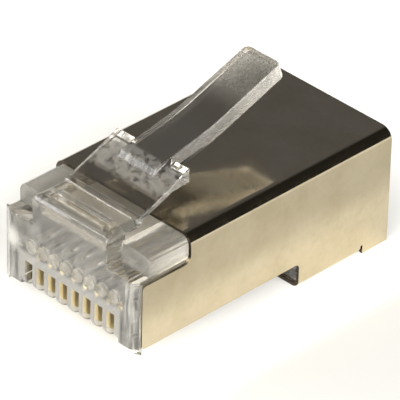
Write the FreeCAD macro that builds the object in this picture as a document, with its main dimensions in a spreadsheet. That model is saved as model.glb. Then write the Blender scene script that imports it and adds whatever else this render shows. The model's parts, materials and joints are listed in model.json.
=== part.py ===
import FreeCAD, Part
import os
import re
import Sketcher

# Shielded eight-way modular plug: one clear moulded housing, the latch lever moulded on it,
# eight piercing contacts and a folded sheet-metal shield.
#
# X runs across the plug and it is symmetric about X = 0. Y runs from the mating face to the
# cable end, and Z points to the latch side. Every body is drawn with its mating face at Y = 0,
# then moved back by half the plug's length, so the origin is the middle of the footprint.

WAYS = 8  # contacts, fixed by the connector's family
TINES = 3  # piercing points on each contact

SIZES = (
    ("plug_length", 21.465),
    ("shield_width", 11.68),
    ("shield_height", 8.125),
    ("sheet_thickness", 0.22),
    ("shield_fit", 0.02),
    ("wall_front", 0.44),
    ("wall_bottom", 1.83),
    ("wall_shoulder", 6.275),
    ("top_front", 4.37),
    ("top_bend_radius", 0.8),
    ("shoulder_radius", 0.5),
    ("wall_corner_radius", 0.28),
    ("step_front", 13.65),
    ("step_radius", 0.3),
    ("flap_end", 19.1),
    ("flap_width", 2.3),
    ("flap_bend_radius", 0.55),
    ("notch_length", 0.16),
    ("notch_height", 0.62),
    ("nose_width", 10.4),
    ("lip_gap", 0.03),
    ("lip_chamfer", 0.36),
    ("foot_width", 0.5),
    ("rib_bottom", 1.5),
    ("cheek_bottom", 1.78),
    ("rib_radius", 0.9),
    ("flange_depth", 1.2),
    ("flange_top", 6.5),
    ("rear_recess", 0.35),
    ("step_gap", 0.15),
    ("top_edge_radius", 0.62),
    ("bottom_edge_radius", 0.38),
    ("channel_end", 5.4),
    ("channel_floor", 7.0),
    ("pillar_width", 6.4),
    ("pillar_depth", 1.55),
    ("pillar_top", 8.76),
    ("pillar_radius", 0.6),
    ("root_plate_bottom", 8.25),
    ("root_window_width", 4.48),
    ("root_window_front", 0.59),
    ("root_window_length", 0.95),
    ("contact_pitch", 1.016),
    ("slot_width", 0.66),
    ("slot_length", 6.3),
    ("slot_top", 3.55),
    ("slit_fit", 0.02),
    ("slit_front", 2.0),
    ("wire_bore", 0.9),
    ("wire_bore_height", 4.55),
    ("wire_bore_end", 0.5),
    ("funnel_front", 9.6),
    ("funnel_rear", 14.5),
    ("funnel_throat_height", 1.3),
    ("cavity_width", 9.0),
    ("cavity_floor", 1.75),
    ("cavity_ceiling", 7.0),
    ("cavity_radius", 0.9),
    ("jacket_bar_front", 14.7),
    ("jacket_bar_rear", 18.3),
    ("jacket_bar_width", 5.8),
    ("wire_bar_front", 7.3),
    ("wire_bar_rear", 9.2),
    ("wire_bar_width", 8.6),
    ("bar_clearance", 0.3),
    ("bar_web", 0.3),
    ("contact_thickness", 0.34),
    ("contact_front", 0.62),
    ("contact_length", 5.2),
    ("contact_recess", 0.12),
    ("contact_top", 3.75),
    ("tine_height", 0.3),
    ("tine_width", 0.7),
    ("contact_radius", 0.4),
    ("root_back", 2.76),
    ("root_height", 8.52),
    ("root_radius", 0.3),
    ("root_fit", 0.03),
    ("blade_width", 6.2),
    ("blade_angle", 20.6),
    ("blade_thickness", 0.4),
    ("blade_drop", 0.16),
    ("lock_front", 5.45),
    ("lock_rear", 6.86),
    ("lock_top", 10.45),
    ("lock_bottom", 9.5),
    ("lock_ridge", 0.52),
    ("lock_ridge_drop", 0.2),
    ("arm_width", 3.0),
    ("arm_thickness", 1.1),
    ("arm_start_angle", 11.0),
    ("arm_end_angle", 19.4),
    ("arm_bend", 10.1),
    ("arm_tip", 16.05),
    ("arm_bend_radius", 14.0),
    ("arm_ramp", 0.62),
    ("tip_corner_radius", 0.45),
)

doc = FreeCAD.newDocument("modular_plug")
sheet = doc.addObject("Spreadsheet::Sheet", "sizes")
for row, (alias, amount) in enumerate(SIZES, start=1):
    sheet.set(f"A{row}", alias.replace("_", " "))
    sheet.set(f"B{row}", str(amount))
    sheet.setAlias(f"B{row}", alias)
doc.recompute()


ALIASES = re.compile(r"\b(" + "|".join(alias for alias, _ in SIZES) + r")\b")


def bound(text):
    """Name the sheet in front of every alias that a formula uses."""
    return ALIASES.sub(r"sizes.\1", text)


def value(formula):
    """Work a formula out in millimetres, or degrees."""
    return float(sheet.evalExpression(bound(formula)))


# Formulas that more than one piece follows.
OUTER_HALF = "(shield_width / 2)"
INNER_HALF = "(shield_width / 2 - sheet_thickness)"
HOUSING_HALF = f"({INNER_HALF} - shield_fit)"
HOUSING_TOP = "(shield_height - sheet_thickness - shield_fit)"
HOUSING_REAR = "(plug_length - rear_recess)"
REAR_BOTTOM = "(sheet_thickness + shield_fit)"
REAR_STEP = "(step_front + step_gap)"
LIP_DEPTH = "(wall_front - lip_gap)"
SLOT_BAND_HALF = f"(contact_pitch * {WAYS - 1} / 2 + slot_width / 2 + (contact_pitch - slot_width))"
FIRST_WAY = f"(-contact_pitch * {WAYS - 1} / 2)"
ARM_TOP_REAR = "(lock_top + (arm_bend - lock_rear) * tan(arm_start_angle * 1deg))"


def new_body(name):
    """Start a body that sits half a plug length in front of where it is drawn."""
    body = doc.addObject("PartDesign::Body", name)
    body.Label = name
    body.setExpression("Placement.Base.y", bound("-plug_length / 2"))
    return body


def new_sketch(body, name, plane, offset="0"):
    """Attach a sketch to one of the body's own origin planes, at an offset along its normal."""
    sketch = body.newObject("Sketcher::SketchObject", name)
    support = [item for item in body.Origin.OriginFeatures if item.Role == plane][0]
    sketch.AttachmentSupport = [(support, "")]
    sketch.MapMode = "FlatFace"
    sketch.setExpression("AttachmentOffset.Base.z", bound(offset))
    return sketch


def tie(sketch, kind, place, formula):
    """Hold a point's distance from the sketch's origin to a formula of the sheet."""
    line, end = place
    number = sketch.addConstraint(Sketcher.Constraint(kind, -1, 1, line, end, value(formula)))
    sketch.setExpression(f"Constraints[{number}]", bound(formula))


def draw_outline(sketch, corners):
    """Draw one closed outline of straight lines through corners given as formulas."""
    first = sketch.GeometryCount
    count = len(corners)
    points = [FreeCAD.Vector(value(across), value(up), 0) for across, up in corners]
    for index, point in enumerate(points):
        sketch.addGeometry(Part.LineSegment(point, points[(index + 1) % count]))
    for index in range(count):
        following = (index + 1) % count
        sketch.addConstraint(Sketcher.Constraint("Coincident", first + index, 2, first + following, 1))
    for index, (across, up) in enumerate(corners):
        tie(sketch, "DistanceX", (first + index, 1), across)
        tie(sketch, "DistanceY", (first + index, 1), up)


def draw_box(sketch, left, right, low, high):
    """Draw a rectangle between four formulas."""
    draw_outline(sketch, ((left, low), (right, low), (right, high), (left, high)))


def draw_circle(sketch, across, up, radius):
    """Draw a circle whose centre and radius are formulas."""
    centre = FreeCAD.Vector(value(across), value(up), 0)
    circle = sketch.addGeometry(Part.Circle(centre, FreeCAD.Vector(0, 0, 1), value(radius)))
    tie(sketch, "DistanceX", (circle, 3), across)
    tie(sketch, "DistanceY", (circle, 3), up)
    number = sketch.addConstraint(Sketcher.Constraint("Radius", circle, value(radius)))
    sketch.setExpression(f"Constraints[{number}]", bound(radius))


def draw_corner_cut(sketch, across, up, radius):
    """Draw what a convex rounding takes off a corner that opens towards plus and plus."""
    reach = value(radius)
    corner = FreeCAD.Vector(value(across), value(up), 0)
    right = corner + FreeCAD.Vector(reach, 0, 0)
    above = corner + FreeCAD.Vector(0, reach, 0)
    nearest = corner + FreeCAD.Vector(reach, reach, 0) * (1 - 2 ** -0.5)
    low = sketch.addGeometry(Part.LineSegment(corner, right))
    curve = sketch.addGeometry(Part.Arc(right, nearest, above))
    side = sketch.addGeometry(Part.LineSegment(above, corner))
    # The arc runs anticlockwise, so its first end may be either of the two tangent points.
    starts_right = sketch.getPoint(curve, 1).isEqual(right, 1e-6)
    sketch.addConstraint(Sketcher.Constraint("Coincident", low, 1, side, 2))
    sketch.addConstraint(Sketcher.Constraint("Coincident", low, 2, curve, 1 if starts_right else 2))
    sketch.addConstraint(Sketcher.Constraint("Coincident", side, 1, curve, 2 if starts_right else 1))
    tie(sketch, "DistanceX", (low, 1), across)
    tie(sketch, "DistanceY", (low, 1), up)
    tie(sketch, "DistanceX", (low, 2), f"{across} + {radius}")
    tie(sketch, "DistanceY", (low, 2), up)
    tie(sketch, "DistanceX", (side, 1), across)
    tie(sketch, "DistanceY", (side, 1), f"{up} + {radius}")
    number = sketch.addConstraint(Sketcher.Constraint("Radius", curve, reach))
    sketch.setExpression(f"Constraints[{number}]", bound(radius))


def extrude(body, kind, sketch, length, side="One side", reverse=False):
    """Pad or pocket a sketch, and stop if it leaves the solid's volume as it was."""
    doc.recompute()
    before = body.Tip.Shape.Volume if body.Tip else 0.0
    feature = body.newObject(f"PartDesign::{kind}", f"{sketch.Name}_{kind.lower()}")
    feature.Profile = sketch
    feature.SideType = side
    feature.Reversed = reverse
    feature.setExpression("Length", bound(length))
    doc.recompute()
    change = feature.Shape.Volume - before
    if (change <= 0 and kind == "Pad") or (change >= 0 and kind == "Pocket"):
        raise RuntimeError(f"{feature.Name} changed the volume by {change:.4f}")
    return feature


def repeat_ways(body, feature):
    """Repeat a feature once for each contact, along X."""
    pattern = body.newObject("PartDesign::LinearPattern", f"{feature.Name}_ways")
    pattern.Originals = [feature]
    pattern.Direction = ([item for item in body.Origin.OriginFeatures if item.Role == "X_Axis"][0], [""])
    pattern.Occurrences = WAYS
    pattern.setExpression("Length", bound(f"contact_pitch * {WAYS - 1}"))
    body.Tip = pattern
    doc.recompute()
    return pattern


def edges_at(shape, direction, **places):
    """Name the straight edges whose middle lies at the given places, along an axis if one is given."""
    found = []
    for number, edge in enumerate(shape.Edges, start=1):
        if edge.Curve.TypeId != "Part::GeomLine":
            continue
        along = edge.lastVertex().Point - edge.firstVertex().Point
        if direction is not None and abs(abs(getattr(along.normalize(), direction)) - 1) > 1e-4:
            continue
        middle = edge.CenterOfMass
        if all(abs(getattr(middle, axis) - place) < 1e-3 for axis, place in places.items()):
            found.append(f"Edge{number}")
    return found


def soften(body, kind, name, edges, amount):
    """Fillet or chamfer named edges of the body's last feature."""
    if not edges:
        raise RuntimeError(f"{name} found no edge")
    base = body.Tip
    feature = body.newObject(f"PartDesign::{kind}", name)
    feature.Base = (base, edges)
    feature.setExpression("Radius" if kind == "Fillet" else "Size", bound(amount))
    doc.recompute()
    return feature


def make_shield():
    """Fold the shield: a top, two stepped walls, and a flap under each side of the cable end."""
    body = new_body("shield")
    section = new_sketch(body, "shield_section", "XZ_Plane", "-wall_front")
    half, inner = OUTER_HALF, INNER_HALF
    ceiling = "shield_height - sheet_thickness"
    draw_outline(section, (
        (f"-{half}", "0"), (f"-{half}", "shield_height"), (half, "shield_height"), (half, "0"),
        (inner, "0"), (inner, ceiling), (f"-{inner}", ceiling), (f"-{inner}", "0"),
    ))
    extrude(body, "Pad", section, "plug_length - wall_front", reverse=True)

    flaps = new_sketch(body, "shield_flaps", "XZ_Plane", "-step_front")
    for side in ("-", ""):
        edge = f"{side}({half} - flap_width)"
        wall = f"{side}{inner}"
        left, right = (wall, edge) if side else (edge, wall)
        draw_box(flaps, left, right, "0", "sheet_thickness")
    extrude(body, "Pad", flaps, "flap_end - step_front", reverse=True)

    nose_cut = new_sketch(body, "shield_nose_cut", "YZ_Plane")
    draw_box(nose_cut, "0", "top_front", "wall_shoulder", "shield_height * 2")
    extrude(body, "Pocket", nose_cut, "shield_width * 2", side="Symmetric")

    step_cut = new_sketch(body, "shield_step_cut", "YZ_Plane")
    draw_box(step_cut, "0", "step_front", "-wall_bottom", "wall_bottom")
    extrude(body, "Pocket", step_cut, "shield_width * 2", side="Symmetric")

    notch = new_sketch(body, "shield_notch", "YZ_Plane")
    draw_box(notch, "flap_end", "flap_end + notch_length", "-notch_height", "notch_height")
    extrude(body, "Pocket", notch, "shield_width * 2", side="Symmetric")

    # Each bend is rounded inside first, because its outside radius passes the sharp inner corner.
    thickness = value("sheet_thickness")
    top = value("shield_height")
    fold = value("(step_front + flap_end) / 2")
    bends = (
        ("top_bends_inside", inner, "top_bend_radius - sheet_thickness", {"z": top - thickness}),
        ("top_bends_outside", half, "top_bend_radius", {"z": top}),
        ("flap_bends_inside", inner, "flap_bend_radius - sheet_thickness", {"y": fold, "z": thickness}),
        ("flap_bends_outside", half, "flap_bend_radius", {"y": fold, "z": 0}),
    )
    for name, reach, radius, places in bends:
        edges = []
        for sign in (-1, 1):
            edges += edges_at(body.Tip.Shape, "y", x=sign * value(reach), **places)
        soften(body, "Fillet", name, edges, radius)

    corners = edges_at(body.Tip.Shape, "x", y=value("top_front"), z=value("wall_shoulder"))
    soften(body, "Fillet", "shoulder_corners", corners, "shoulder_radius")
    corners = edges_at(body.Tip.Shape, "x", y=value("wall_front"), z=value("wall_shoulder"))
    corners += edges_at(body.Tip.Shape, "x", y=value("wall_front"), z=value("wall_bottom"))
    soften(body, "Fillet", "wall_front_corners", corners, "wall_corner_radius")
    corners = edges_at(body.Tip.Shape, "x", y=value("step_front"), z=value("wall_bottom"))
    soften(body, "Fillet", "step_corners", corners, "step_radius")
    return body


def add_crimp_bar(body, name, front, rear, width, floor, ceiling):
    """Open a window in the underside and hang a wedge bar in it on a thin web at its rear."""
    window = new_sketch(body, f"{name}_window", "XY_Plane", floor)
    draw_box(window, f"-{width} / 2 - bar_clearance", f"{width} / 2 + bar_clearance", front, rear)
    extrude(body, "Pocket", window, f"{ceiling} - {floor}", reverse=True)
    bar = new_sketch(body, f"{name}_bar", "YZ_Plane")
    toe = f"{front} + bar_clearance"
    web_low = f"{floor} + bar_web"
    draw_outline(bar, (
        (f"{rear} + bar_web", web_low), (f"{rear} + bar_web", f"{web_low} + bar_web"),
        (f"{rear} - bar_web * 2", f"{web_low} + bar_web"),
        (f"{toe} + bar_web * 2", f"{ceiling} - bar_clearance"), (toe, f"{ceiling} - bar_clearance"),
        (toe, web_low),
    ))
    extrude(body, "Pad", bar, width, side="Symmetric")


def add_nose(body):
    """Add the lip that covers the raw front edges of the shield, and the comb of ribs below it."""
    lip = new_sketch(body, "nose_lip", "XY_Plane", "rib_bottom")
    draw_outline(lip, (
        ("-nose_width / 2", "0"), ("nose_width / 2", "0"), (OUTER_HALF, "lip_chamfer"),
        (OUTER_HALF, LIP_DEPTH), (f"-{OUTER_HALF}", LIP_DEPTH), (f"-{OUTER_HALF}", "lip_chamfer"),
    ))
    extrude(body, "Pad", lip, "flange_top - rib_bottom")
    relief = new_sketch(body, "cheek_relief", "XY_Plane", "rib_bottom")
    for sign in ("-", ""):
        inner = f"{sign}{SLOT_BAND_HALF}"
        outer = f"{sign}({OUTER_HALF} - foot_width)"
        left, right = (outer, inner) if sign else (inner, outer)
        draw_box(relief, left, right, "0", LIP_DEPTH)
    extrude(body, "Pocket", relief, "cheek_bottom - rib_bottom", reverse=True)

    comb = new_sketch(body, "rib_comb", "YZ_Plane")
    draw_box(comb, "0", "slot_length + slot_width", "rib_bottom", "slot_top")
    extrude(body, "Pad", comb, f"{SLOT_BAND_HALF} * 2", side="Symmetric")
    rounding = new_sketch(body, "comb_rounding", "YZ_Plane")
    draw_corner_cut(rounding, "0", "rib_bottom", "rib_radius")
    extrude(body, "Pocket", rounding, f"{SLOT_BAND_HALF} * 2", side="Symmetric")


def add_latch_seat(body):
    """Sink the channel under the lever, and raise the pillar whose root plate takes its round root."""
    channel = new_sketch(body, "latch_channel", "XY_Plane", "channel_floor")
    draw_box(channel, "-pillar_width / 2", "pillar_width / 2", "pillar_depth", "channel_end")
    extrude(body, "Pocket", channel, "shield_height", reverse=True)

    pillar = new_sketch(body, "latch_pillar", "YZ_Plane")
    draw_outline(pillar, (
        ("0", "slot_top"), ("0", "pillar_top"), ("root_back", "pillar_top"),
        ("root_back", "root_plate_bottom"), ("pillar_depth", "root_plate_bottom"),
        ("pillar_depth", "slot_top"),
    ))
    extrude(body, "Pad", pillar, "pillar_width", side="Symmetric")
    top = value("pillar_top")
    edges = edges_at(body.Tip.Shape, "x", y=0, z=top)
    for sign in (-1, 1):
        edges += edges_at(body.Tip.Shape, "y", x=sign * value("pillar_width / 2"), z=top)
    soften(body, "Fillet", "pillar_top_edges", edges, "pillar_radius")
    seat = new_sketch(body, "root_seat", "YZ_Plane")
    draw_circle(seat, "root_back", "root_height", "root_radius + root_fit")
    extrude(body, "Pocket", seat, "shield_width", side="Symmetric")
    window = new_sketch(body, "root_window", "XY_Plane", "root_plate_bottom")
    draw_box(window, "-root_window_width / 2", "root_window_width / 2", "root_window_front",
             "root_window_front + root_window_length")
    extrude(body, "Pocket", window, "shield_height", reverse=True)


def hollow_cable_side(body):
    """Hollow the cable end and narrow it to the throat that the wire bores start from."""
    cavity = new_sketch(body, "cable_cavity", "XZ_Plane", "-funnel_rear")
    draw_box(cavity, "-cavity_width / 2", "cavity_width / 2", "cavity_floor", "cavity_ceiling")
    extrude(body, "Pocket", cavity, "plug_length", reverse=False)
    edges = []
    for sign in (-1, 1):
        for height in ("cavity_floor", "cavity_ceiling"):
            edges += edges_at(body.Tip.Shape, "y", x=sign * value("cavity_width / 2"), z=value(height))
    soften(body, "Fillet", "cavity_corners", edges, "cavity_radius")
    mouth = new_sketch(body, "funnel_mouth", "XZ_Plane", "-funnel_rear")
    draw_box(mouth, "-cavity_width / 2 + cavity_radius", "cavity_width / 2 - cavity_radius",
             "cavity_floor + cavity_radius / 2", "cavity_ceiling - cavity_radius / 2")
    throat = new_sketch(body, "funnel_throat", "XZ_Plane", "-funnel_front")
    draw_box(throat, f"{FIRST_WAY} - wire_bore / 2", f"-{FIRST_WAY} + wire_bore / 2",
             "wire_bore_height - funnel_throat_height / 2",
             "wire_bore_height + funnel_throat_height / 2")
    doc.recompute()
    before = body.Tip.Shape.Volume
    funnel = body.newObject("PartDesign::SubtractiveLoft", "funnel")
    funnel.Profile = mouth
    funnel.Sections = [throat]
    funnel.Ruled = True
    doc.recompute()
    if funnel.Shape.Volume >= before:
        raise RuntimeError("the funnel removed nothing")


def cut_ways(body):
    """Cut a contact slot, a slit for its tines and a wire bore for each way."""
    slot = new_sketch(body, "contact_slot", "XY_Plane", "rib_bottom")
    draw_box(slot, f"{FIRST_WAY} - slot_width / 2", f"{FIRST_WAY} + slot_width / 2", "0", "slot_length")
    repeat_ways(body, extrude(body, "Pocket", slot, "slot_top - rib_bottom", reverse=True))
    slit = new_sketch(body, "tine_slit", "XY_Plane", "slot_top")
    slit_half = "(contact_thickness / 2 + slit_fit)"
    draw_box(slit, f"{FIRST_WAY} - {slit_half}", f"{FIRST_WAY} + {slit_half}",
             "slit_front - slit_fit * 2", "contact_front + contact_length + slit_fit")
    repeat_ways(body, extrude(body, "Pocket", slit, "wire_bore_height - slot_top", reverse=True))
    bore = new_sketch(body, "wire_bores", "XZ_Plane", "-funnel_front")
    draw_circle(bore, FIRST_WAY, "wire_bore_height", "wire_bore / 2")
    repeat_ways(body, extrude(body, "Pocket", bore, "funnel_front - wire_bore_end", reverse=True))


def make_housing():
    """Mould the housing: stepped body, nose, latch seat, cable cavity, ways and crimp bars."""
    body = new_body("housing")
    side = new_sketch(body, "housing_side", "YZ_Plane")
    draw_outline(side, (
        (LIP_DEPTH, "cheek_bottom"), (REAR_STEP, "cheek_bottom"), (REAR_STEP, REAR_BOTTOM),
        (HOUSING_REAR, REAR_BOTTOM), (HOUSING_REAR, HOUSING_TOP), ("flange_depth", HOUSING_TOP),
        ("flange_depth", "flange_top"), (LIP_DEPTH, "flange_top"),
    ))
    extrude(body, "Pad", side, f"{HOUSING_HALF} * 2", side="Symmetric")
    edges = []
    for sign in (-1, 1):
        edges += edges_at(body.Tip.Shape, "y", x=sign * value(HOUSING_HALF), z=value(HOUSING_TOP))
    soften(body, "Fillet", "housing_top_edges", edges, "top_edge_radius")
    edges = []
    for sign in (-1, 1):
        edges += edges_at(body.Tip.Shape, "y", x=sign * value(HOUSING_HALF), z=value(REAR_BOTTOM))
    soften(body, "Fillet", "housing_bottom_edges", edges, "bottom_edge_radius")

    add_nose(body)
    add_latch_seat(body)
    hollow_cable_side(body)
    cut_ways(body)
    add_crimp_bar(body, "jacket", "jacket_bar_front", "jacket_bar_rear", "jacket_bar_width",
                  REAR_BOTTOM, "cavity_floor")
    add_crimp_bar(body, "wire", "wire_bar_front", "wire_bar_rear", "wire_bar_width",
                  "cheek_bottom", "(wire_bore_height - wire_bore / 2)")
    return body


def make_latch():
    """Mould the lever: round root, thin blade, locking shoulders and the curved thumb arm."""
    body = new_body("latch_lever")
    slope = "tan(blade_angle * 1deg)"
    blade = new_sketch(body, "blade_side", "YZ_Plane")
    low = "(root_height - blade_drop)"
    rise = f"((lock_front - root_back) * {slope})"
    over = "(blade_thickness / cos(blade_angle * 1deg))"
    draw_outline(blade, (
        ("root_back", low), ("lock_front", f"{low} + {rise}"), ("lock_rear", "lock_bottom"),
        ("lock_rear", "lock_top"), ("lock_rear - lock_ridge", "lock_top - lock_ridge_drop"),
        ("lock_front - blade_thickness", f"{low} + {rise} + {over} - blade_thickness * {slope}"),
        ("root_back", f"{low} + {over}"),
    ))
    extrude(body, "Pad", blade, "blade_width", side="Symmetric")
    root = new_sketch(body, "root_bead", "YZ_Plane")
    draw_circle(root, "root_back", "root_height", "root_radius")
    extrude(body, "Pad", root, "blade_width", side="Symmetric")

    arm = new_sketch(body, "arm_side", "YZ_Plane")
    start_slope = "tan(arm_start_angle * 1deg)"
    end_slope = "tan(arm_end_angle * 1deg)"
    half_turn = "((arm_start_angle + arm_end_angle) / 2 * 1deg)"
    tip_top = f"({ARM_TOP_REAR} + (arm_tip - arm_bend) * {end_slope})"
    bend_back = f"(arm_thickness * sin{half_turn})"
    tip_back = "(arm_thickness * sin(arm_end_angle * 1deg))"
    arm_front = "(lock_rear - arm_ramp * 2)"
    draw_outline(arm, (
        (arm_front, f"lock_top - arm_ramp * 2 * {start_slope}"),
        ("arm_bend", ARM_TOP_REAR),
        ("arm_tip", tip_top),
        (f"arm_tip + {tip_back}", f"{tip_top} - arm_thickness * cos(arm_end_angle * 1deg)"),
        (f"arm_bend + {bend_back}", f"{ARM_TOP_REAR} - arm_thickness * cos{half_turn}"),
        ("lock_rear - arm_ramp", f"lock_top - arm_ramp * {start_slope} - arm_thickness"),
        (f"{arm_front} - arm_ramp", f"lock_top - arm_thickness"),
    ))
    extrude(body, "Pad", arm, "arm_width", side="Symmetric")

    bend_low = value(f"{ARM_TOP_REAR} - arm_thickness * cos{half_turn}")
    edges = edges_at(body.Tip.Shape, "x", y=value("arm_bend"), z=value(ARM_TOP_REAR))
    edges += edges_at(body.Tip.Shape, "x", y=value(f"arm_bend + {bend_back}"), z=bend_low)
    soften(body, "Fillet", "arm_bends", edges, "arm_bend_radius")

    tip_low = f"({tip_top} - arm_thickness * cos(arm_end_angle * 1deg))"
    corners = []
    for sign in (-1, 1):
        corners += edges_at(body.Tip.Shape, None, x=sign * value("arm_width / 2"),
                            y=value(f"arm_tip + {tip_back} / 2"), z=value(f"({tip_top} + {tip_low}) / 2"))
    soften(body, "Fillet", "tip_corners", corners, "tip_corner_radius")
    return body


def make_contact(number):
    """Blank one piercing contact from strip: rounded contact edge below, three tines above."""
    body = new_body(f"contact_{number}")
    body.setExpression("Placement.Base.x", bound(f"contact_pitch * {number - 1 - (WAYS - 1) / 2}"))
    blank = new_sketch(body, f"contact_blank_{number}", "YZ_Plane")
    low = "rib_bottom + contact_recess"
    rear = "(contact_front + contact_length)"
    # The tines share the top edge evenly between the slit's front end and the blank's rear.
    tine_pitch = f"(({rear} - slit_front - tine_width) / {TINES - 1})"
    corners = [("contact_front", low), (rear, low), (rear, "contact_top")]
    for place in reversed(range(TINES)):
        start = f"slit_front + {tine_pitch} * {place}"
        corners += [
            (f"{start} + tine_width", "contact_top"),
            (f"{start} + tine_width / 2", "contact_top + tine_height"),
            (start, "contact_top"),
        ]
    corners = corners[:2] + corners[3:]
    corners += [("slit_front", "slot_top - slit_fit"), ("contact_front", "slot_top - slit_fit")]
    draw_outline(blank, corners)
    extrude(body, "Pad", blank, "contact_thickness", side="Symmetric")
    edges = edges_at(body.Tip.Shape, "x", y=value("contact_front"), z=value(low))
    soften(body, "Fillet", f"contact_nose_{number}", edges, "contact_radius")
    return body


bodies = [make_housing(), make_latch(), make_shield()]
bodies += [make_contact(number) for number in range(1, WAYS + 1)]
doc.recompute()

for item in doc.Objects:
    if "Invalid" in item.State or "Error" in item.State:
        raise RuntimeError(f"{item.Name} failed: {item.State}")
os.makedirs("parts", exist_ok=True)
for body in bodies:
    if body.Shape.isNull() or not body.Shape.isValid():
        raise RuntimeError(f"{body.Label} has no valid shape")
    print(body.Label, len(body.Shape.Solids), round(body.Shape.Volume, 4))
    body.Shape.exportStep(f"parts/{body.Label}.step")
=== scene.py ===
"""Dresses the shielded eight-way modular plug: clear moulding, folded plated shield, gilt contacts.

Unless a comment says otherwise, lengths are in metres, and places in a finish are counted from the
mating face, the middle plane and the floor.
"""

import json
import logging
import math
from dataclasses import dataclass, field
from enum import Enum
from typing import Any, Callable

import bmesh
import bpy
from mathutils import Matrix, Vector
from mathutils.bvhtree import BVHTree

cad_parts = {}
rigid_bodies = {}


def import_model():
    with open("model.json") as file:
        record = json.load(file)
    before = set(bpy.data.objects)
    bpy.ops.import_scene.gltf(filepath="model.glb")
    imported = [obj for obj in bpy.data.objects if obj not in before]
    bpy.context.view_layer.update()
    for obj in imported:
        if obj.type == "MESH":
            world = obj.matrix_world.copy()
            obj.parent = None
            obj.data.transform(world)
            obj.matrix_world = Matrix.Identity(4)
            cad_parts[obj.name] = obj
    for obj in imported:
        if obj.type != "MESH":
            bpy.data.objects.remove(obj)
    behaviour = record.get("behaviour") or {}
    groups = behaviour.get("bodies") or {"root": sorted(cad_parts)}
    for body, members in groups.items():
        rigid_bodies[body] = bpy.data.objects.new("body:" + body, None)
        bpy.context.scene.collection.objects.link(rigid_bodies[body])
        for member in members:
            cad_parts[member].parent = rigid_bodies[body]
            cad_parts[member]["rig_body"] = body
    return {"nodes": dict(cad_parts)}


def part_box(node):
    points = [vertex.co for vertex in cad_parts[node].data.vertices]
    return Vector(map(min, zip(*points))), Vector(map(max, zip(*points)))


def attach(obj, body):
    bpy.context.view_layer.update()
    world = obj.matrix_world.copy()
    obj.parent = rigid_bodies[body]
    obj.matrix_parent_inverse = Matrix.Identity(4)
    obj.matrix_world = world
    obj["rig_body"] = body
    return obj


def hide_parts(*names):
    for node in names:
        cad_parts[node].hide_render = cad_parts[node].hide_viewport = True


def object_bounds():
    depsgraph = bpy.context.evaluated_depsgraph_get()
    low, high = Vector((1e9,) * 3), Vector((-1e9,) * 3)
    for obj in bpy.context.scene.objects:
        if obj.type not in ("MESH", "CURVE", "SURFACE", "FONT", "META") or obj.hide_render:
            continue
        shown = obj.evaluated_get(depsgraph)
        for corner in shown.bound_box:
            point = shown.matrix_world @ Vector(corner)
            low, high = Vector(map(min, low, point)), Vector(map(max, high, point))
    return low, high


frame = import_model()
CAD_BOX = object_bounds()

MM = 0.001
FRONT = CAD_BOX[0].y  # The mating face.
LOG = logging.getLogger("modular_plug")

WELD = 0.001 * MM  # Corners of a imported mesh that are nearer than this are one.
FLAT_ANGLE = math.radians(0.3)  # Facets that turn less than this are one face.
CREASE_ANGLE = math.radians(40)  # An edge that turns more than this is shaded sharp.
STRAY = 0.6  # How far, in edge widths, a broken corner may leave the skin before it is put back.

Span = tuple[float, float]


class Slot(Enum):
    """The record's material slots for the housing and the latch; nothing here reads them."""

    HOUSING = "clear_housing"
    LATCH = "clear_latch"


class Fade(Enum):
    """How a ramp runs from closed to open."""

    EVEN = "LINEAR"
    SOFT = "SMOOTHSTEP"


def linear_colour(code: str) -> tuple[float, float, float, float]:
    """Turn an sRGB hex code into linear light, by the standard curve.

    Args:
        code: Six hex digits after a hash sign.

    Returns:
        Linear red, green and blue, and an opaque alpha.
    """
    parts = [int(code[place:place + 2], 16) / 255 for place in (1, 3, 5)]
    red, green, blue = (p / 12.92 if p <= 0.04045 else ((p + 0.055) / 1.055) ** 2.4 for p in parts)
    return red, green, blue, 1.0


def add_node(tree: bpy.types.NodeTree, kind: str, links: dict[Any, bpy.types.NodeSocket] | None = None,
             values: dict[Any, Any] | None = None, **settings: Any) -> bpy.types.Node:
    """Add one node to a tree.

    Args:
        tree: The node tree that gets the node.
        kind: The node's type, without the leading "ShaderNode".
        links: Output sockets to join to the node's inputs, by input name or number.
        values: Fixed values for the node's inputs, by input name or number.
        settings: The node's own properties.

    Returns:
        The new node.
    """
    node = tree.nodes.new(f"ShaderNode{kind}")
    for name, setting in settings.items():
        setattr(node, name, setting)
    for place, value in (values or {}).items():
        node.inputs[place].default_value = value
    for place, socket in (links or {}).items():
        tree.links.new(socket, node.inputs[place])
    return node


def spans(measured: Span, result: Span = (0.0, 1.0)) -> dict[str, float]:
    """Name the ends of a range for a node that maps it onto another.

    Args:
        measured: The first and last value that come in.
        result: What they become.

    Returns:
        The node's input values by name.
    """
    return {"From Min": measured[0], "From Max": measured[1], "To Min": result[0], "To Max": result[1]}


def product(tree: bpy.types.NodeTree, first: bpy.types.NodeSocket,
            second: bpy.types.NodeSocket) -> bpy.types.NodeSocket:
    """Multiply two values of a tree.

    Args:
        tree: The node tree that gets the product.
        first: One value.
        second: The other value.

    Returns:
        Their product.
    """
    return add_node(tree, "Math", {0: first, 1: second}, operation="MULTIPLY").outputs["Value"]


def new_material(name: str) -> tuple[bpy.types.Material, bpy.types.NodeTree]:
    """Start an empty node material.

    Args:
        name: The material's name.

    Returns:
        The material and its node tree.
    """
    material = bpy.data.materials.new(name)
    material.use_nodes = True
    material.node_tree.nodes.clear()
    return material, material.node_tree


def dress(piece: bpy.types.Object, material: bpy.types.Material) -> None:
    """Put a material in all of an object's own slots.

    Args:
        piece: The object to dress.
        material: Its material.
    """
    if not piece.material_slots:
        piece.data.materials.append(None)
    for slot in piece.material_slots:
        slot.link = "OBJECT"
        slot.material = material


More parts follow.
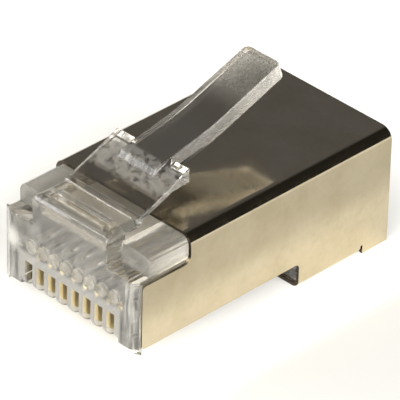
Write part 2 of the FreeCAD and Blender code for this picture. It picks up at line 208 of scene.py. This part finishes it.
def softened_copy(node: str, name: str, width: float, segments: int, sharper_than: float = 28.0,
                  chosen: Callable[[Vector], bool] = lambda middle: True) -> bpy.types.Object:
    """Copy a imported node's mesh and break its sharp edges with a small radius.

    Args:
        node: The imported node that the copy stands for.
        name: The new object's name.
        width: How far each broken edge reaches back from the corner.
        segments: Facets across each broken edge.
        sharper_than: Degrees between faces, above which an edge counts as sharp.
        chosen: Says whether an edge with this middle is to be broken.

    Returns:
        The new object, which rides on the node's body and replaces the node.
    """
    source = frame["nodes"][node]
    mesh = bmesh.new()
    mesh.from_mesh(source.data)
    bmesh.ops.remove_doubles(mesh, verts=mesh.verts, dist=WELD)
    bmesh.ops.dissolve_limit(mesh, angle_limit=FLAT_ANGLE, verts=mesh.verts, edges=mesh.edges,
                             use_dissolve_boundaries=False)
    whole = BVHTree.FromBMesh(mesh)
    limit = math.radians(sharper_than)
    sharp = [edge for edge in mesh.edges if edge.is_manifold and edge.calc_face_angle(0.0) > limit
             and chosen((edge.verts[0].co + edge.verts[1].co) / 2)]
    bmesh.ops.bevel(mesh, geom=sharp, offset=width, segments=segments, profile=0.5, affect="EDGES",
                    clamp_overlap=False, material=-1)
    # Where short edges meet, a broken corner can overshoot: it goes back to the moulding's own skin,
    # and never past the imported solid's box.
    low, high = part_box(node)
    for vertex in mesh.verts:
        spot, _, _, away = whole.find_nearest(vertex.co)
        place = spot if away > width * STRAY else vertex.co
        vertex.co = [min(max(at, least), most) for at, least, most in zip(place, low, high)]
    data = bpy.data.meshes.new(name)
    mesh.to_mesh(data)
    mesh.free()
    data.shade_smooth()
    data.set_sharp_from_angle(angle=CREASE_ANGLE)
    piece = bpy.data.objects.new(name, data)
    bpy.context.scene.collection.objects.link(piece)
    even = piece.modifiers.new("even_shading", "WEIGHTED_NORMAL")
    even.keep_sharp = True
    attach(piece, source["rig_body"])
    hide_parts(node)
    return piece


# --------------------------------------------------------------------------- finishes


@dataclass(frozen=True)
class Grain:
    """A noise pattern: the real size of its spots, how many finer layers it has and their strength."""

    size: float
    detail: float = 3.0
    roughness: float = 0.5

    def values(self) -> dict[str, float]:
        """Give the noise node's input values by name."""
        return {"Scale": 1 / self.size, "Detail": self.detail, "Roughness": self.roughness}


@dataclass(frozen=True)
class Zone:
    """A stretch of a moulding, told by its place, whose ends fade.

    Each end is a pair: where the stretch is closed, and where it is open. An end that is left out has
    no limit, and at least one is given. Behind and before count back from the mating face, above and
    below from the floor, and outside and inside from the middle plane.
    """

    behind: Span | None = None
    before: Span | None = None
    above: Span | None = None
    below: Span | None = None
    outside: Span | None = None
    inside: Span | None = None
    fade: Fade = Fade.EVEN

    def share(self, tree: bpy.types.NodeTree, place: bpy.types.Node) -> bpy.types.NodeSocket:
        """Mark the stretch.

        Args:
            tree: The material's tree.
            place: Its texture coordinates.

        Returns:
            A value from 0 outside the stretch to 1 in it.
        """
        parts = add_node(tree, "SeparateXYZ", {"Vector": place.outputs["Object"]})
        across = add_node(tree, "Math", {0: parts.outputs["X"]}, operation="ABSOLUTE")
        measured = (
            (parts.outputs["Y"], FRONT, self.behind),
            (parts.outputs["Y"], FRONT, self.before),
            (parts.outputs["Z"], 0.0, self.above),
            (parts.outputs["Z"], 0.0, self.below),
            (across.outputs["Value"], 0.0, self.outside),
            (across.outputs["Value"], 0.0, self.inside),
        )
        ramps = [add_node(tree, "MapRange", {"Value": measure}, spans((start + end[0], start + end[1])),
                          interpolation_type=self.fade.value)
                 for measure, start, end in measured if end is not None]
        share = ramps[0].outputs["Result"]
        for ramp in ramps[1:]:
            share = product(tree, share, ramp.outputs["Result"])
        return share


@dataclass(frozen=True)
class Patch:
    """A stretch of a moulding with a clearness and a roughness of its own."""

    zone: Zone
    clearness: float
    roughness: float


def finish_glass(tree: bpy.types.NodeTree, surface: bpy.types.Node, lamp_tint: str) -> None:
    """Let lamps shine through a clear shader and end its tree.

    Args:
        tree: The material's tree.
        surface: The clear shader.
        lamp_tint: What a lamp's light keeps on its way through.
    """
    path = add_node(tree, "LightPath")
    open_way = add_node(tree, "BsdfTransparent", values={"Color": linear_colour(lamp_tint)})
    mixed = add_node(tree, "MixShader", {0: path.outputs["Is Shadow Ray"], 1: surface.outputs["BSDF"],
                                         2: open_way.outputs["BSDF"]})
    add_node(tree, "OutputMaterial", {"Surface": mixed.outputs["Shader"]})


@dataclass(frozen=True)
class ClearPolycarbonate:
    """Polycarbonate, injection moulded in a polished tool.

    Light grey and see-through, with soft flow marks from the melt. On the front face the tool's draw
    left an upright haze, sharp streaks near both ends, milky ribs and a cloudy spot by the gate. The
    latch pillar, the shoulders, the floor of the channel under the lever and the wire bores were left
    matt in the tool, so they scatter light and look milky.
    """

    name: str = "clear moulded polycarbonate"
    tint: str = "#e0dcd2"
    lamp_tint: str = "#b9b6b0"
    ior: float = 1.585

    flow: Grain = Grain(0.8 * MM)
    flow_range: Span = (0.35, 0.7)
    flow_height: float = 0.005 * MM
    roughness: Span = (0.05, 0.16)

    plain_clearness: float = 0.96
    face: Zone = Zone(before=(0.3 * MM, 0.15 * MM))
    face_lean: Span = (-0.3, -0.8)
    haze: Grain = Grain(0.5 * MM, detail=4.0, roughness=0.6)
    haze_stretch: float = 0.22
    haze_range: Span = (0.36, 0.66)
    haze_clearness: Span = (1.0, 0.86)

    border: Zone = Zone(outside=(4.6 * MM, 4.9 * MM))
    streak: Grain = Grain(0.2 * MM, detail=2.0)
    streak_stretch: float = 0.1
    streak_range: Span = (0.38, 0.64)
    streak_clearness: float = 0.7

    ribs: Zone = Zone(before=(0.3 * MM, 0.15 * MM), below=(4.4 * MM, 4.1 * MM), inside=(4.5 * MM, 4.35 * MM))
    rib_clearness: float = 0.78

    gate_side: float = -5.0 * MM
    gate_height: float = 4.75 * MM
    gate_reach: Span = (1.15 * MM, 0.1 * MM)
    gate_clearness: float = 0.55

    pillar: Patch = Patch(Zone(before=(1.0 * MM, 0.5 * MM), above=(6.2 * MM, 7.0 * MM), fade=Fade.SOFT),
                          clearness=0.95, roughness=0.14)
    shoulders: Patch = Patch(Zone(behind=(1.0 * MM, 1.15 * MM), above=(6.52 * MM, 6.62 * MM),
                                  outside=(3.22 * MM, 3.3 * MM)),
                             clearness=0.89, roughness=0.23)
    channel: Patch = Patch(Zone(behind=(1.7 * MM, 1.9 * MM), above=(6.9 * MM, 6.95 * MM),
                                below=(7.1 * MM, 7.05 * MM), inside=(3.2 * MM, 3.16 * MM)),
                           clearness=0.74, roughness=0.34)
    bores: Patch = Patch(Zone(behind=(0.46 * MM, 0.74 * MM), before=(1.4 * MM, 0.9 * MM),
                              above=(3.85 * MM, 4.0 * MM), below=(5.2 * MM, 5.1 * MM),
                              inside=(4.5 * MM, 4.3 * MM)),
                         clearness=0.8, roughness=0.3)

    def make(self) -> bpy.types.Material:
        """Build the material.

        Returns:
            The new material.
        """
        material, tree = new_material(self.name)
        place = add_node(tree, "TexCoord")
        flow = add_node(tree, "TexNoise", {"Vector": place.outputs["Object"]}, self.flow.values())
        polished = add_node(tree, "MapRange", {"Value": flow.outputs["Fac"]},
                            spans(self.flow_range, self.roughness))
        spread = polished.outputs["Result"]
        clear = self.veil(tree, place)
        for patch in (self.pillar, self.shoulders, self.channel, self.bores):
            share = patch.zone.share(tree, place)
            spread = add_node(tree, "Mix", {0: share, 2: spread}, {3: patch.roughness}).outputs[0]
            clear = add_node(tree, "Mix", {0: share, 2: clear}, {3: patch.clearness}).outputs[0]
        bump = add_node(tree, "Bump", {"Height": flow.outputs["Fac"]},
                        {"Strength": 1.0, "Distance": self.flow_height})
        surface = add_node(tree, "BsdfPrincipled",
                           {"Roughness": spread, "Normal": bump.outputs["Normal"],
                            "Transmission Weight": clear},
                           {"Base Color": linear_colour(self.tint), "IOR": self.ior})
        finish_glass(tree, surface, self.lamp_tint)
        return material

    def veil(self, tree: bpy.types.NodeTree, place: bpy.types.Node) -> bpy.types.NodeSocket:
        """Work out how clear the plastic is, with all that veils the front face.

        Args:
            tree: The material's tree.
            place: Its texture coordinates.

        Returns:
            The clearness before the matt patches.
        """
        facing = add_node(tree, "SeparateXYZ", {"Vector": place.outputs["Normal"]})
        forward = add_node(tree, "MapRange", {"Value": facing.outputs["Y"]}, spans(self.face_lean))
        face = product(tree, self.face.share(tree, place), forward.outputs["Result"])
        upright = add_node(tree, "Mapping", {"Vector": place.outputs["Object"]},
                           {"Scale": (1.0, 1.0, self.haze_stretch)})
        haze = add_node(tree, "TexNoise", {"Vector": upright.outputs["Vector"]}, self.haze.values())
        hazy = add_node(tree, "MapRange", {"Value": haze.outputs["Fac"]},
                        spans(self.haze_range, self.haze_clearness))
        clear = add_node(tree, "Mix", {0: face, 3: hazy.outputs["Result"]}, {2: self.plain_clearness})
        streaked = self.streak_share(tree, place, face)
        clear = add_node(tree, "Mix", {0: streaked, 2: clear.outputs[0]}, {3: self.streak_clearness})
        clear = add_node(tree, "Mix", {0: self.ribs.share(tree, place), 2: clear.outputs[0]},
                         {3: self.rib_clearness})
        away = add_node(tree, "VectorMath", {0: place.outputs["Object"]},
                        {1: (self.gate_side, FRONT, self.gate_height)}, operation="DISTANCE")
        cloudy = add_node(tree, "MapRange", {"Value": away.outputs["Value"]}, spans(self.gate_reach),
                          interpolation_type=Fade.SOFT.value)
        clear = add_node(tree, "Mix", {0: cloudy.outputs["Result"], 2: clear.outputs[0]},
                         {3: self.gate_clearness})
        return clear.outputs[0]

    def streak_share(self, tree: bpy.types.NodeTree, place: bpy.types.Node,
                     face: bpy.types.NodeSocket) -> bpy.types.NodeSocket:
        """Mark the upright streaks near both ends of the front face.

        Args:
            tree: The material's tree.
            place: Its texture coordinates.
            face: The front face's share.

        Returns:
            A value from 0 on the plain face to 1 in a streak.
        """
        pulled = add_node(tree, "Mapping", {"Vector": place.outputs["Object"]},
                          {"Scale": (1.0, 1.0, self.streak_stretch)})
        line = add_node(tree, "TexNoise", {"Vector": pulled.outputs["Vector"]}, self.streak.values())
        streak = add_node(tree, "MapRange", {"Value": line.outputs["Fac"]}, spans(self.streak_range))
        on_border = product(tree, self.border.share(tree, place), face)
        return product(tree, on_border, streak.outputs["Result"])


@dataclass(frozen=True)
class SatinPolycarbonate:
    """The lever's polycarbonate: polished near the root, spark-textured on the thumb end.

    The textured end scatters light, so it looks whiter and softer than the clear part, and so do the
    narrow sides, which took their surface from the mould's matt walls. The blade has a blotchy frosted
    band in front of its lock, and the arm's front ramp is dull, and painted a little darker as shade.
    """

    name: str = "clear polycarbonate with textured thumb end"
    tint: str = "#bdb9b1"
    lamp_tint: str = "#c9c6c0"
    ior: float = 1.585

    polished_roughness: float = 0.04
    polished_clearness: float = 0.98
    tip_along: Span = (1.2 * MM, 3.6 * MM)  # Along Y, from the plug's middle.
    tip_clearness: float = 0.8
    tip_grain: Grain = Grain(0.14 * MM, roughness=0.6)
    tip_grain_range: Span = (0.0, 0.6)
    tip_grain_height: float = 0.013 * MM
    tip_roughness: float = 0.32
    flat_lean: Span = (0.86, 0.93)
    flat_clearness: float = 0.98

    side_lean: Span = (0.55, 0.85)
    side_grain: Grain = Grain(0.22 * MM, roughness=0.6)
    side_stretch: float = 0.1
    side_grain_range: Span = (0.35, 0.65)
    side_roughness: Span = (0.2, 0.34)
    side_clearness: Span = (0.91, 0.74)

    ramp: Zone = Zone(inside=(1.75 * MM, 1.55 * MM))
    ramp_lean: Span = (-0.5, -0.65)
    ramp_painted_shade_tint: str = "#85827c"
    ramp_roughness: float = 0.35

    band: Patch = Patch(Zone(behind=(4.35 * MM, 4.5 * MM), before=(6.4 * MM, 6.2 * MM)),
                        clearness=0.83, roughness=0.24)
    blotch: Grain = Grain(0.5 * MM)
    blotch_range: Span = (0.38, 0.48)

    def make(self) -> bpy.types.Material:
        """Build the material.

        Returns:
            The new material.
        """
        material, tree = new_material(self.name)
        place = add_node(tree, "TexCoord")
        facing = add_node(tree, "SeparateXYZ", {"Vector": place.outputs["Normal"]})
        parts = add_node(tree, "SeparateXYZ", {"Vector": place.outputs["Object"]})
        tip = add_node(tree, "MapRange", {"Value": parts.outputs["Y"]}, spans(self.tip_along),
                       interpolation_type=Fade.SOFT.value).outputs["Result"]
        textured = self.texture_share(tree, facing, tip)
        grain = add_node(tree, "TexNoise", {"Vector": place.outputs["Object"]}, self.tip_grain.values())
        mottle = product(tree, grain.outputs["Fac"], textured)
        rough = add_node(tree, "MapRange", {"Value": mottle},
                         spans(self.tip_grain_range, (self.polished_roughness, self.tip_roughness)))
        milky = add_node(tree, "MapRange", {"Value": tip},
                         {"To Min": self.polished_clearness, "To Max": self.tip_clearness})
        milky = add_node(tree, "Mix", {0: textured, 2: milky.outputs["Result"]}, {3: self.flat_clearness})

        side = self.side_share(tree, facing)
        wall = self.side_spread(tree, place)
        wall_clear = add_node(tree, "MapRange", {"Value": tip},
                              {"To Min": self.side_clearness[0], "To Max": self.side_clearness[1]})
        spread = add_node(tree, "Mix", {0: side, 2: rough.outputs["Result"], 3: wall})
        clear = add_node(tree, "Mix", {0: side, 2: milky.outputs[0], 3: wall_clear.outputs["Result"]})

        ramp = self.ramp_share(tree, place, facing)
        spread = add_node(tree, "Mix", {0: ramp, 2: spread.outputs[0]}, {3: self.ramp_roughness})
        # Painted shade: the ramp's colour is darkened.
        colour = add_node(tree, "Mix", {0: ramp},
                          {6: linear_colour(self.tint), 7: linear_colour(self.ramp_painted_shade_tint)},
                          data_type="RGBA")

        frosted = self.band_share(tree, place)
        spread = add_node(tree, "Mix", {0: frosted, 2: spread.outputs[0]}, {3: self.band.roughness})
        clear = add_node(tree, "Mix", {0: frosted, 2: clear.outputs[0]}, {3: self.band.clearness})
        bump = add_node(tree, "Bump", {"Height": mottle},
                        {"Strength": 1.0, "Distance": self.tip_grain_height})
        surface = add_node(tree, "BsdfPrincipled",
                           {"Roughness": spread.outputs[0], "Normal": bump.outputs["Normal"],
                            "Transmission Weight": clear.outputs[0], "Base Color": colour.outputs[2]},
                           {"IOR": self.ior})
        finish_glass(tree, surface, self.lamp_tint)
        return material

    def texture_share(self, tree: bpy.types.NodeTree, facing: bpy.types.Node,
                      tip: bpy.types.NodeSocket) -> bpy.types.NodeSocket:
        """Mark the spark texture, which lies on the flats of the thumb end.

        Args:
            tree: The material's tree.
            facing: The surface's direction, by axis.
            tip: The thumb end's share.

        Returns:
            A value from 0 on the smooth lever to 1 on the texture.
        """
        upward = add_node(tree, "Math", {0: facing.outputs["Z"]}, operation="ABSOLUTE")
        flat = add_node(tree, "MapRange", {"Value": upward.outputs["Value"]}, spans(self.flat_lean))
        return product(tree, tip, flat.outputs["Result"])

    def side_share(self, tree: bpy.types.NodeTree, facing: bpy.types.Node) -> bpy.types.NodeSocket:
        """Mark the lever's narrow sides.

        Args:
            tree: The material's tree.
            facing: The surface's direction, by axis.

        Returns:
            A value from 0 on the flats to 1 on the sides.
        """
        aside = add_node(tree, "Math", {0: facing.outputs["X"]}, operation="ABSOLUTE")
        side = add_node(tree, "MapRange", {"Value": aside.outputs["Value"]}, spans(self.side_lean),
                        interpolation_type=Fade.SOFT.value)
        return side.outputs["Result"]

    def side_spread(self, tree: bpy.types.NodeTree, place: bpy.types.Node) -> bpy.types.NodeSocket:
        """Work out how rough the narrow sides are, with streaks drawn along the lever.

        Args:
            tree: The material's tree.
            place: Its texture coordinates.

        Returns:
            The roughness of the sides.
        """
        along = add_node(tree, "Mapping", {"Vector": place.outputs["Object"]},
                         {"Scale": (1.0, self.side_stretch, 1.0)})
        drawn = add_node(tree, "TexNoise", {"Vector": along.outputs["Vector"]}, self.side_grain.values())
        wall = add_node(tree, "MapRange", {"Value": drawn.outputs["Fac"]},
                        spans(self.side_grain_range, self.side_roughness))
        return wall.outputs["Result"]

    def ramp_share(self, tree: bpy.types.NodeTree, place: bpy.types.Node,
                   facing: bpy.types.Node) -> bpy.types.NodeSocket:
        """Mark the arm's front ramp.

        Args:
            tree: The material's tree.
            place: Its texture coordinates.
            facing: The surface's direction, by axis.

        Returns:
            A value from 0 on the rest of the lever to 1 on the ramp.
        """
        sloping = add_node(tree, "MapRange", {"Value": facing.outputs["Y"]}, spans(self.ramp_lean))
        return product(tree, sloping.outputs["Result"], self.ramp.share(tree, place))

    def band_share(self, tree: bpy.types.NodeTree, place: bpy.types.Node) -> bpy.types.NodeSocket:
        """Mark the blotchy frosted band that the blade has in front of its lock.

        Args:
            tree: The material's tree.
            place: Its texture coordinates.

        Returns:
            A value from 0 on the clear blade to 1 where it is most frosted.
        """
        spots = add_node(tree, "TexNoise", {"Vector": place.outputs["Object"]}, self.blotch.values())
        patchy = add_node(tree, "MapRange", {"Value": spots.outputs["Fac"]}, spans(self.blotch_range))
        return product(tree, self.band.zone.share(tree, place), patchy.outputs["Result"])


@dataclass(frozen=True)
class NickelPlatedSheet:
    """Copper-alloy strip, nickel plated and bright rolled, then folded.

    A warm mirror with faint cloudy patches and the shallow waviness of thin sheet. The edges that the
    blanking cut across the strip are bare metal, and their dark colour is partly painted shade.
    """

    name: str = "bright nickel-plated sheet"
    colour: str = "#cabea5"
    cloud_colour: str = "#b1a588"
    cloud: Grain = Grain(2.6 * MM, detail=5.0, roughness=0.6)
    cloud_range: Span = (0.35, 0.68)
    mottle: Grain = Grain(0.35 * MM, roughness=0.55)
    mottle_share: float = 0.45
    roughness: Span = (0.09, 0.2)
    rough_range: Span = (0.0, 0.7)
    wave: Grain = Grain(5.5 * MM, detail=1.0, roughness=0.4)
    wave_height: float = 0.008 * MM
    cut_edge_and_painted_shade_colour: str = "#4a4238"
    cut_lean: Span = (0.8, 0.95)

    def make(self) -> bpy.types.Material:
        """Build the material.

        Returns:
            The new material.
        """
        material, tree = new_material(self.name)
        place = add_node(tree, "TexCoord")
        cloud = add_node(tree, "TexNoise", {"Vector": place.outputs["Object"]}, self.cloud.values())
        mottle = add_node(tree, "TexNoise", {"Vector": place.outputs["Object"]}, self.mottle.values())
        wave = add_node(tree, "TexNoise", {"Vector": place.outputs["Object"]}, self.wave.values())
        cloudy = add_node(tree, "MapRange", {"Value": cloud.outputs["Fac"]}, spans(self.cloud_range))
        stain = add_node(tree, "Mix", {2: cloudy.outputs["Result"], 3: mottle.outputs["Fac"]},
                         {0: self.mottle_share})
        colour = add_node(tree, "Mix", {0: stain.outputs[0]},
                          {6: linear_colour(self.colour), 7: linear_colour(self.cloud_colour)},
                          data_type="RGBA")
        facing = add_node(tree, "SeparateXYZ", {"Vector": place.outputs["Normal"]})
        along = add_node(tree, "Math", {0: facing.outputs["Y"]}, operation="ABSOLUTE")
        cut = add_node(tree, "MapRange", {"Value": along.outputs["Value"]}, spans(self.cut_lean))
        # The cut edges' dark colour is partly the bare metal's own and partly painted shade.
        whole = add_node(tree, "Mix", {0: cut.outputs["Result"], 6: colour.outputs[2]},
                         {7: linear_colour(self.cut_edge_and_painted_shade_colour)}, data_type="RGBA")
        both = product(tree, cloudy.outputs["Result"], mottle.outputs["Fac"])
        rough = add_node(tree, "MapRange", {"Value": both}, spans(self.rough_range, self.roughness))
        bump = add_node(tree, "Bump", {"Height": wave.outputs["Fac"]},
                        {"Strength": 1.0, "Distance": self.wave_height})
        surface = add_node(tree, "BsdfPrincipled",
                           {"Base Color": whole.outputs[2], "Roughness": rough.outputs["Result"],
                            "Normal": bump.outputs["Normal"]},
                           {"Metallic": 1.0})
        add_node(tree, "OutputMaterial", {"Surface": surface.outputs["BSDF"]})
        return material


@dataclass(frozen=True)
class GoldPlatedStrip:
    """Phosphor-bronze strip, blanked and flash plated with gold.

    A rich yellow metal with a slightly drawn shine from the blanking.
    """

    name: str = "gold-plated contact strip"
    colour: str = "#ecdca6"
    worn_colour: str = "#c4ad6e"
    roughness: Span = (0.3, 0.5)
    streak: Grain = Grain(0.09 * MM, detail=4.0)
    streak_stretch: float = 0.15
    streak_range: Span = (0.3, 0.7)

    def make(self) -> bpy.types.Material:
        """Build the material.

        Returns:
            The new material.
        """
        material, tree = new_material(self.name)
        place = add_node(tree, "TexCoord")
        drawn = add_node(tree, "Mapping", {"Vector": place.outputs["Object"]},
                         {"Scale": (1.0, self.streak_stretch, 1.0)})
        streak = add_node(tree, "TexNoise", {"Vector": drawn.outputs["Vector"]}, self.streak.values())
        colour = add_node(tree, "Mix", {0: streak.outputs["Fac"]},
                          {6: linear_colour(self.colour), 7: linear_colour(self.worn_colour)},
                          data_type="RGBA")
        rough = add_node(tree, "MapRange", {"Value": streak.outputs["Fac"]},
                         spans(self.streak_range, self.roughness))
        surface = add_node(tree, "BsdfPrincipled",
                           {"Base Color": colour.outputs[2], "Roughness": rough.outputs["Result"]},
                           {"Metallic": 1.0})
        add_node(tree, "OutputMaterial", {"Surface": surface.outputs["BSDF"]})
        return material


@dataclass(frozen=True)
class StudioPaper:
    """Seamless background paper, matt and white with a barely visible fibre.

    A soft patch of painted shade greys the paper to the right of the plug, where the shield's side
    mirrors it, so that the side doesn't look flat.
    """

    name: str = "white seamless paper"
    colour: str = "#f7f6f2"
    fibre_colour: str = "#f2f0ea"
    fibre: Grain = Grain(2.0 * MM)
    roughness: float = 0.9
    # Painted shade: a grey patch on the paper to the right of the plug.
    shade: str = "#d0cfca"
    shade_side: Span = (8.4 * MM, 11.2 * MM)  # Along X, from the plug's middle.
    shade_middle: tuple[float, float, float] = (14.0 * MM, 6.0 * MM, 0.0)
    shade_reach: Span = (50.0 * MM, 18.0 * MM)

    def make(self) -> bpy.types.Material:
        """Build the material.

        Returns:
            The new material.
        """
        material, tree = new_material(self.name)
        place = add_node(tree, "TexCoord")
        fibre = add_node(tree, "TexNoise", {"Vector": place.outputs["Object"]}, self.fibre.values())
        colour = add_node(tree, "Mix", {0: fibre.outputs["Fac"]},
                          {6: linear_colour(self.colour), 7: linear_colour(self.fibre_colour)},
                          data_type="RGBA")
        parts = add_node(tree, "SeparateXYZ", {"Vector": place.outputs["Object"]})
        beside = add_node(tree, "MapRange", {"Value": parts.outputs["X"]}, spans(self.shade_side),
                          interpolation_type=Fade.SOFT.value)
        away = add_node(tree, "VectorMath", {0: place.outputs["Object"]}, {1: self.shade_middle},
                        operation="DISTANCE")
        within = add_node(tree, "MapRange", {"Value": away.outputs["Value"]}, spans(self.shade_reach),
                          interpolation_type=Fade.SOFT.value)
        # The painted shade's share: beside the plug, and fading out farther away.
        patch = product(tree, beside.outputs["Result"], within.outputs["Result"])
        shaded = add_node(tree, "Mix", {0: patch, 6: colour.outputs[2]},
                          {7: linear_colour(self.shade)}, data_type="RGBA")
        surface = add_node(tree, "BsdfPrincipled", {"Base Color": shaded.outputs[2]},
                           {"Roughness": self.roughness})
        add_node(tree, "OutputMaterial", {"Surface": surface.outputs["BSDF"]})
        return material


# --------------------------------------------------------------------------- the plug


@dataclass
class MouldedHousing:
    """The clear moulding that carries everything else."""

    edge: float = 0.06 * MM
    edge_facets: int = 2
    inside_half: float = 4.7 * MM
    inside_low: float = 1.65 * MM
    inside_high: float = 6.95 * MM
    comb_depth: float = 0.35 * MM
    comb_round: float = 1.0 * MM
    comb_round_top: float = 2.5 * MM
    lip_half: float = 5.7 * MM
    lip_depth: float = 0.2 * MM
    finish: ClearPolycarbonate = field(default_factory=ClearPolycarbonate)

    def build(self) -> None:
        """Dress the moulding."""
        piece = softened_copy("housing", "housing_moulding", self.edge, self.edge_facets,
                              chosen=self.is_outside)
        dress(piece, self.finish.make())

    def is_outside(self, middle: Vector) -> bool:
        """Tell the moulding's outer edges from those inside it and those of the lip beside the shield.

        Args:
            middle: An edge's middle.

        Returns:
            True where the edge is on the outside.
        """
        behind = middle.y - FRONT
        within = abs(middle.x) < self.inside_half and self.inside_low < middle.z < self.inside_high
        on_comb = behind < self.comb_depth or (behind < self.comb_round and middle.z < self.comb_round_top)
        beside_shield = abs(middle.x) > self.lip_half and behind > self.lip_depth
        return (on_comb or not within) and not beside_shield


@dataclass
class LatchLever:
    """The lever moulded on the nose, with its textured thumb end."""

    edge: float = 0.09 * MM
    edge_facets: int = 3
    finish: SatinPolycarbonate = field(default_factory=SatinPolycarbonate)

    def build(self) -> None:
        """Dress the lever."""
        piece = softened_copy("latch_lever", "latch_moulding", self.edge, self.edge_facets)
        dress(piece, self.finish.make())


@dataclass
class FoldedShield:
    """The folded sheet-metal shield."""

    finish: NickelPlatedSheet = field(default_factory=NickelPlatedSheet)

    def build(self) -> None:
        """Dress the shield."""
        dress(frame["nodes"]["shield"], self.finish.make())


@dataclass
class ContactRow:
    """The row of eight piercing contacts."""

    finish: GoldPlatedStrip = field(default_factory=GoldPlatedStrip)

    def build(self) -> None:
        """Dress each contact."""
        gilt = self.finish.make()
        for name, node in frame["nodes"].items():
            if name.startswith("contact_"):
                dress(node, gilt)


# --------------------------------------------------------------------------- the studio


@dataclass
class Camera:
    """A long lens that looks down on the plug's latch side from the front right."""

    azimuth: float = 44.822
    elevation: float = 33.688
    roll: float = 1.398
    distance: float = 259.113 * MM
    aim: tuple[float, float, float] = (0.0, -0.7325 * MM, 4.0 * MM)
    across: float = 0.638 * MM
    above: float = 1.063 * MM
    lens: float = 384.64  # In millimetres, as the sensor.
    sensor: float = 36.0
    clip: Span = (10 * MM, 10_000 * MM)

    def build(self) -> None:
        """Place the camera."""
        turn, rise, tilt = (math.radians(v) for v in (self.azimuth, self.elevation, self.roll))
        back = Vector((math.sin(turn) * math.cos(rise), -math.cos(turn) * math.cos(rise), math.sin(rise)))
        level = back.cross(Vector((0, 0, -1))).normalized()
        upright = level.cross(-back)
        right = level * math.cos(tilt) + upright * math.sin(tilt)
        up = upright * math.cos(tilt) - level * math.sin(tilt)
        data = bpy.data.cameras.new("studio_camera")
        data.lens, data.sensor_width = self.lens, self.sensor
        data.clip_start, data.clip_end = self.clip
        camera = bpy.data.objects.new("studio_camera", data)
        bpy.context.scene.collection.objects.link(camera)
        spot = Vector(self.aim) + back * self.distance + right * self.across + up * self.above
        camera.matrix_world = Matrix.Translation(spot) @ Matrix((right, up, back)).transposed().to_4x4()
        bpy.context.scene.camera = camera


@dataclass
class Lamp:
    """One soft rectangular lamp aimed at the plug."""

    name: str
    place: tuple[float, float, float]
    size: Span
    power: float
    target: tuple[float, float, float] = (0.0, 0.0, 4.0 * MM)

    def build(self) -> None:
        """Hang the lamp."""
        data = bpy.data.lights.new(self.name, "AREA")
        data.shape, data.energy = "RECTANGLE", self.power
        data.size, data.size_y = self.size
        lamp = bpy.data.objects.new(self.name, data)
        lamp.visible_camera = False
        bpy.context.scene.collection.objects.link(lamp)
        aim = Vector(self.target) - Vector(self.place)
        lamp.matrix_world = Matrix.Translation(self.place) @ aim.to_track_quat("-Z", "Y").to_matrix().to_4x4()


@dataclass
class Studio:
    """The paper floor, the soft lamps and the dim room around them."""

    floor_reach: float = 1.5
    paper: StudioPaper = field(default_factory=StudioPaper)
    dark_corner: str = "#2b2a29"
    dim_corner: str = "#6a6a70"
    dim_way: tuple[float, float, float] = (-0.586, 0.590, 0.555)
    dim_range: Span = (0.78, 0.97)  # How straight a way points there, from the edge to the full tone.
    bright_side: str = "#e4e4e2"
    bright_range: Span = (-0.1, -0.5)  # How far a way points to the front, in the same terms.
    lamps: tuple[Lamp, ...] = (
        Lamp("front", place=(0.32, -0.50, 0.34), size=(1.15, 0.85), power=10.5),
        Lamp("right", place=(0.50, -0.10, 0.26), size=(0.6, 0.42), power=4.3),
        Lamp("left", place=(-0.50, -0.26, 0.18), size=(0.5, 0.30), power=2.6),
    )

    def build(self) -> None:
        """Lay the floor, hang the lamps and dim the room."""
        mesh = bmesh.new()
        bmesh.ops.create_grid(mesh, x_segments=1, y_segments=1, size=self.floor_reach)
        data = bpy.data.meshes.new("paper_floor")
        mesh.to_mesh(data)
        mesh.free()
        floor = bpy.data.objects.new("paper_floor", data)
        bpy.context.scene.collection.objects.link(floor)
        dress(floor, self.paper.make())
        for lamp in self.lamps:
            lamp.build()
        self.dim_room()
        bpy.context.scene.view_settings.view_transform = "Standard"

    def dim_room(self) -> None:
        """Make the room dark, a little lighter at the back left and bright in front."""
        world = bpy.data.worlds.new("dim_room")
        world.use_nodes = True
        tree = world.node_tree
        tree.nodes.clear()
        way = add_node(tree, "TexCoord")
        turn = add_node(tree, "VectorMath", {0: way.outputs["Generated"]}, {1: self.dim_way},
                        operation="DOT_PRODUCT")
        share = add_node(tree, "MapRange", {"Value": turn.outputs["Value"]}, spans(self.dim_range),
                         interpolation_type=Fade.SOFT.value)
        back = add_node(tree, "Mix", {0: share.outputs["Result"]},
                        {6: linear_colour(self.dark_corner), 7: linear_colour(self.dim_corner)},
                        data_type="RGBA")
        parts = add_node(tree, "SeparateXYZ", {"Vector": way.outputs["Generated"]})
        front = add_node(tree, "MapRange", {"Value": parts.outputs["Y"]}, spans(self.bright_range),
                         interpolation_type=Fade.SOFT.value)
        colour = add_node(tree, "Mix", {0: front.outputs["Result"], 6: back.outputs[2]},
                          {7: linear_colour(self.bright_side)}, data_type="RGBA")
        glow = add_node(tree, "Background", {"Color": colour.outputs[2]})
        add_node(tree, "OutputWorld", {"Surface": glow.outputs["Background"]})
        bpy.context.scene.world = world


def main() -> None:
    """Build every part of the scene in order."""
    logging.basicConfig(level=logging.INFO, format="%(message)s")
    for part in (Camera(), MouldedHousing(), LatchLever(), FoldedShield(), ContactRow(), Studio()):
        part.build()
        LOG.info("built %s", type(part).__name__)


if __name__ == "__main__":
    main()
